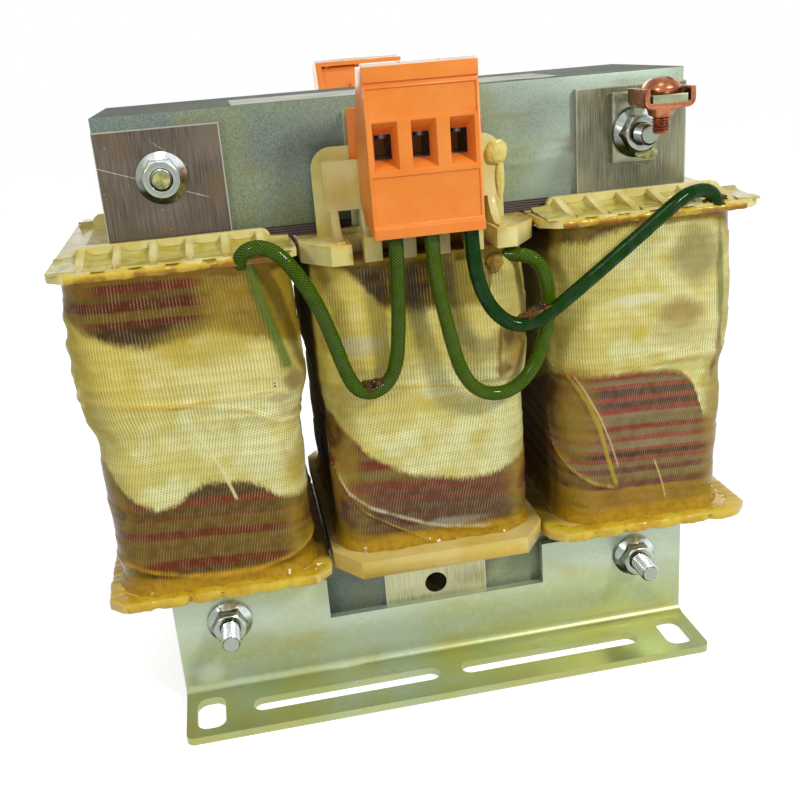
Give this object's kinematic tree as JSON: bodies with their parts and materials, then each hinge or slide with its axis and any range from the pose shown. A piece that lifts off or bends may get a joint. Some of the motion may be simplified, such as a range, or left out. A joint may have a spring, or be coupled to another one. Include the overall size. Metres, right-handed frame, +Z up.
{
  "type": "line reactor",
  "caption": "Open-frame line reactor: resin-dipped coils on a laminated core, with finger-safe terminal blocks, an earth clamp and slotted feet for bolting down.",
  "frame": {"origin": "on the floor, under the centre of the core", "axes": "+X along the core to the earth clamp's side, +Y from the front with the leads to the back, +Z up"},
  "size_m": [0.2024, 0.1156, 0.1916],
  "materials": {
    "core_steel": "stacked electrical steel, varnished",
    "pressboard": "dark varnished pressboard",
    "bobbin_nylon": "cream moulding under yellow resin",
    "winding_wire": "enamelled copper wire",
    "glass_tape": "woven glass tape soaked in clear varnish",
    "strap_steel": "rolled sheet, lightly scratched",
    "bracket_steel": "zinc plate with a thin varnish film",
    "plated_fasteners": "bright zinc plate",
    "sleeve_plastic": "plain insulating tube",
    "copper_clamp": "bare copper-coloured metal",
    "orange_housing": "fine moulded satin",
    "white_marker": "plain satin",
    "cage_steel": "plated sheet",
    "green_sleeving": "braided sleeving, wet look from varnish"
  },
  "bodies": {
    "root": {"bobbin_centre": "bobbin_nylon", "bobbin_left": "bobbin_nylon", "bobbin_right": "bobbin_nylon", "bolt_sleeve_high_left": "sleeve_plastic", "bolt_sleeve_high_right": "sleeve_plastic", "bolt_sleeve_low_left": "sleeve_plastic", "bolt_sleeve_low_right": "sleeve_plastic", "clamp_bolt_high_left": "plated_fasteners", "clamp_bolt_high_right": "plated_fasteners", "clamp_bolt_low_left": "plated_fasteners", "clamp_bolt_low_right": "plated_fasteners", "e_core": "core_steel", "earth_bracket": "strap_steel", "earth_clamp": "copper_clamp", "earth_screw": "copper_clamp", "flange_nut_high_left": "plated_fasteners", "flange_nut_high_right": "plated_fasteners", "flange_nut_low_left": "plated_fasteners", "flange_nut_low_right": "plated_fasteners", "gap_strip": "pressboard", "lead_centre": "green_sleeving", "lead_left": "green_sleeving", "lead_right": "green_sleeving", "marker_strip_back": "white_marker", "marker_strip_front": "white_marker", "mounting_bracket_back": "bracket_steel", "mounting_bracket_front": "bracket_steel", "tape_wrap_centre": "glass_tape", "tape_wrap_left": "glass_tape", "tape_wrap_right": "glass_tape", "terminal_cages_back": "cage_steel", "terminal_cages_front": "cage_steel", "terminal_housing_back": "orange_housing", "terminal_housing_front": "orange_housing", "terminal_screws_back": "plated_fasteners", "terminal_screws_front": "plated_fasteners", "tie_strap_back_centre": "strap_steel", "tie_strap_back_left": "strap_steel", "tie_strap_back_right": "strap_steel", "tie_strap_front_centre": "strap_steel", "tie_strap_front_left": "strap_steel", "tie_strap_front_right": "strap_steel", "top_yoke": "core_steel", "winding_centre": "winding_wire", "winding_left": "winding_wire", "winding_right": "winding_wire"}
  },
  "joints": []
}
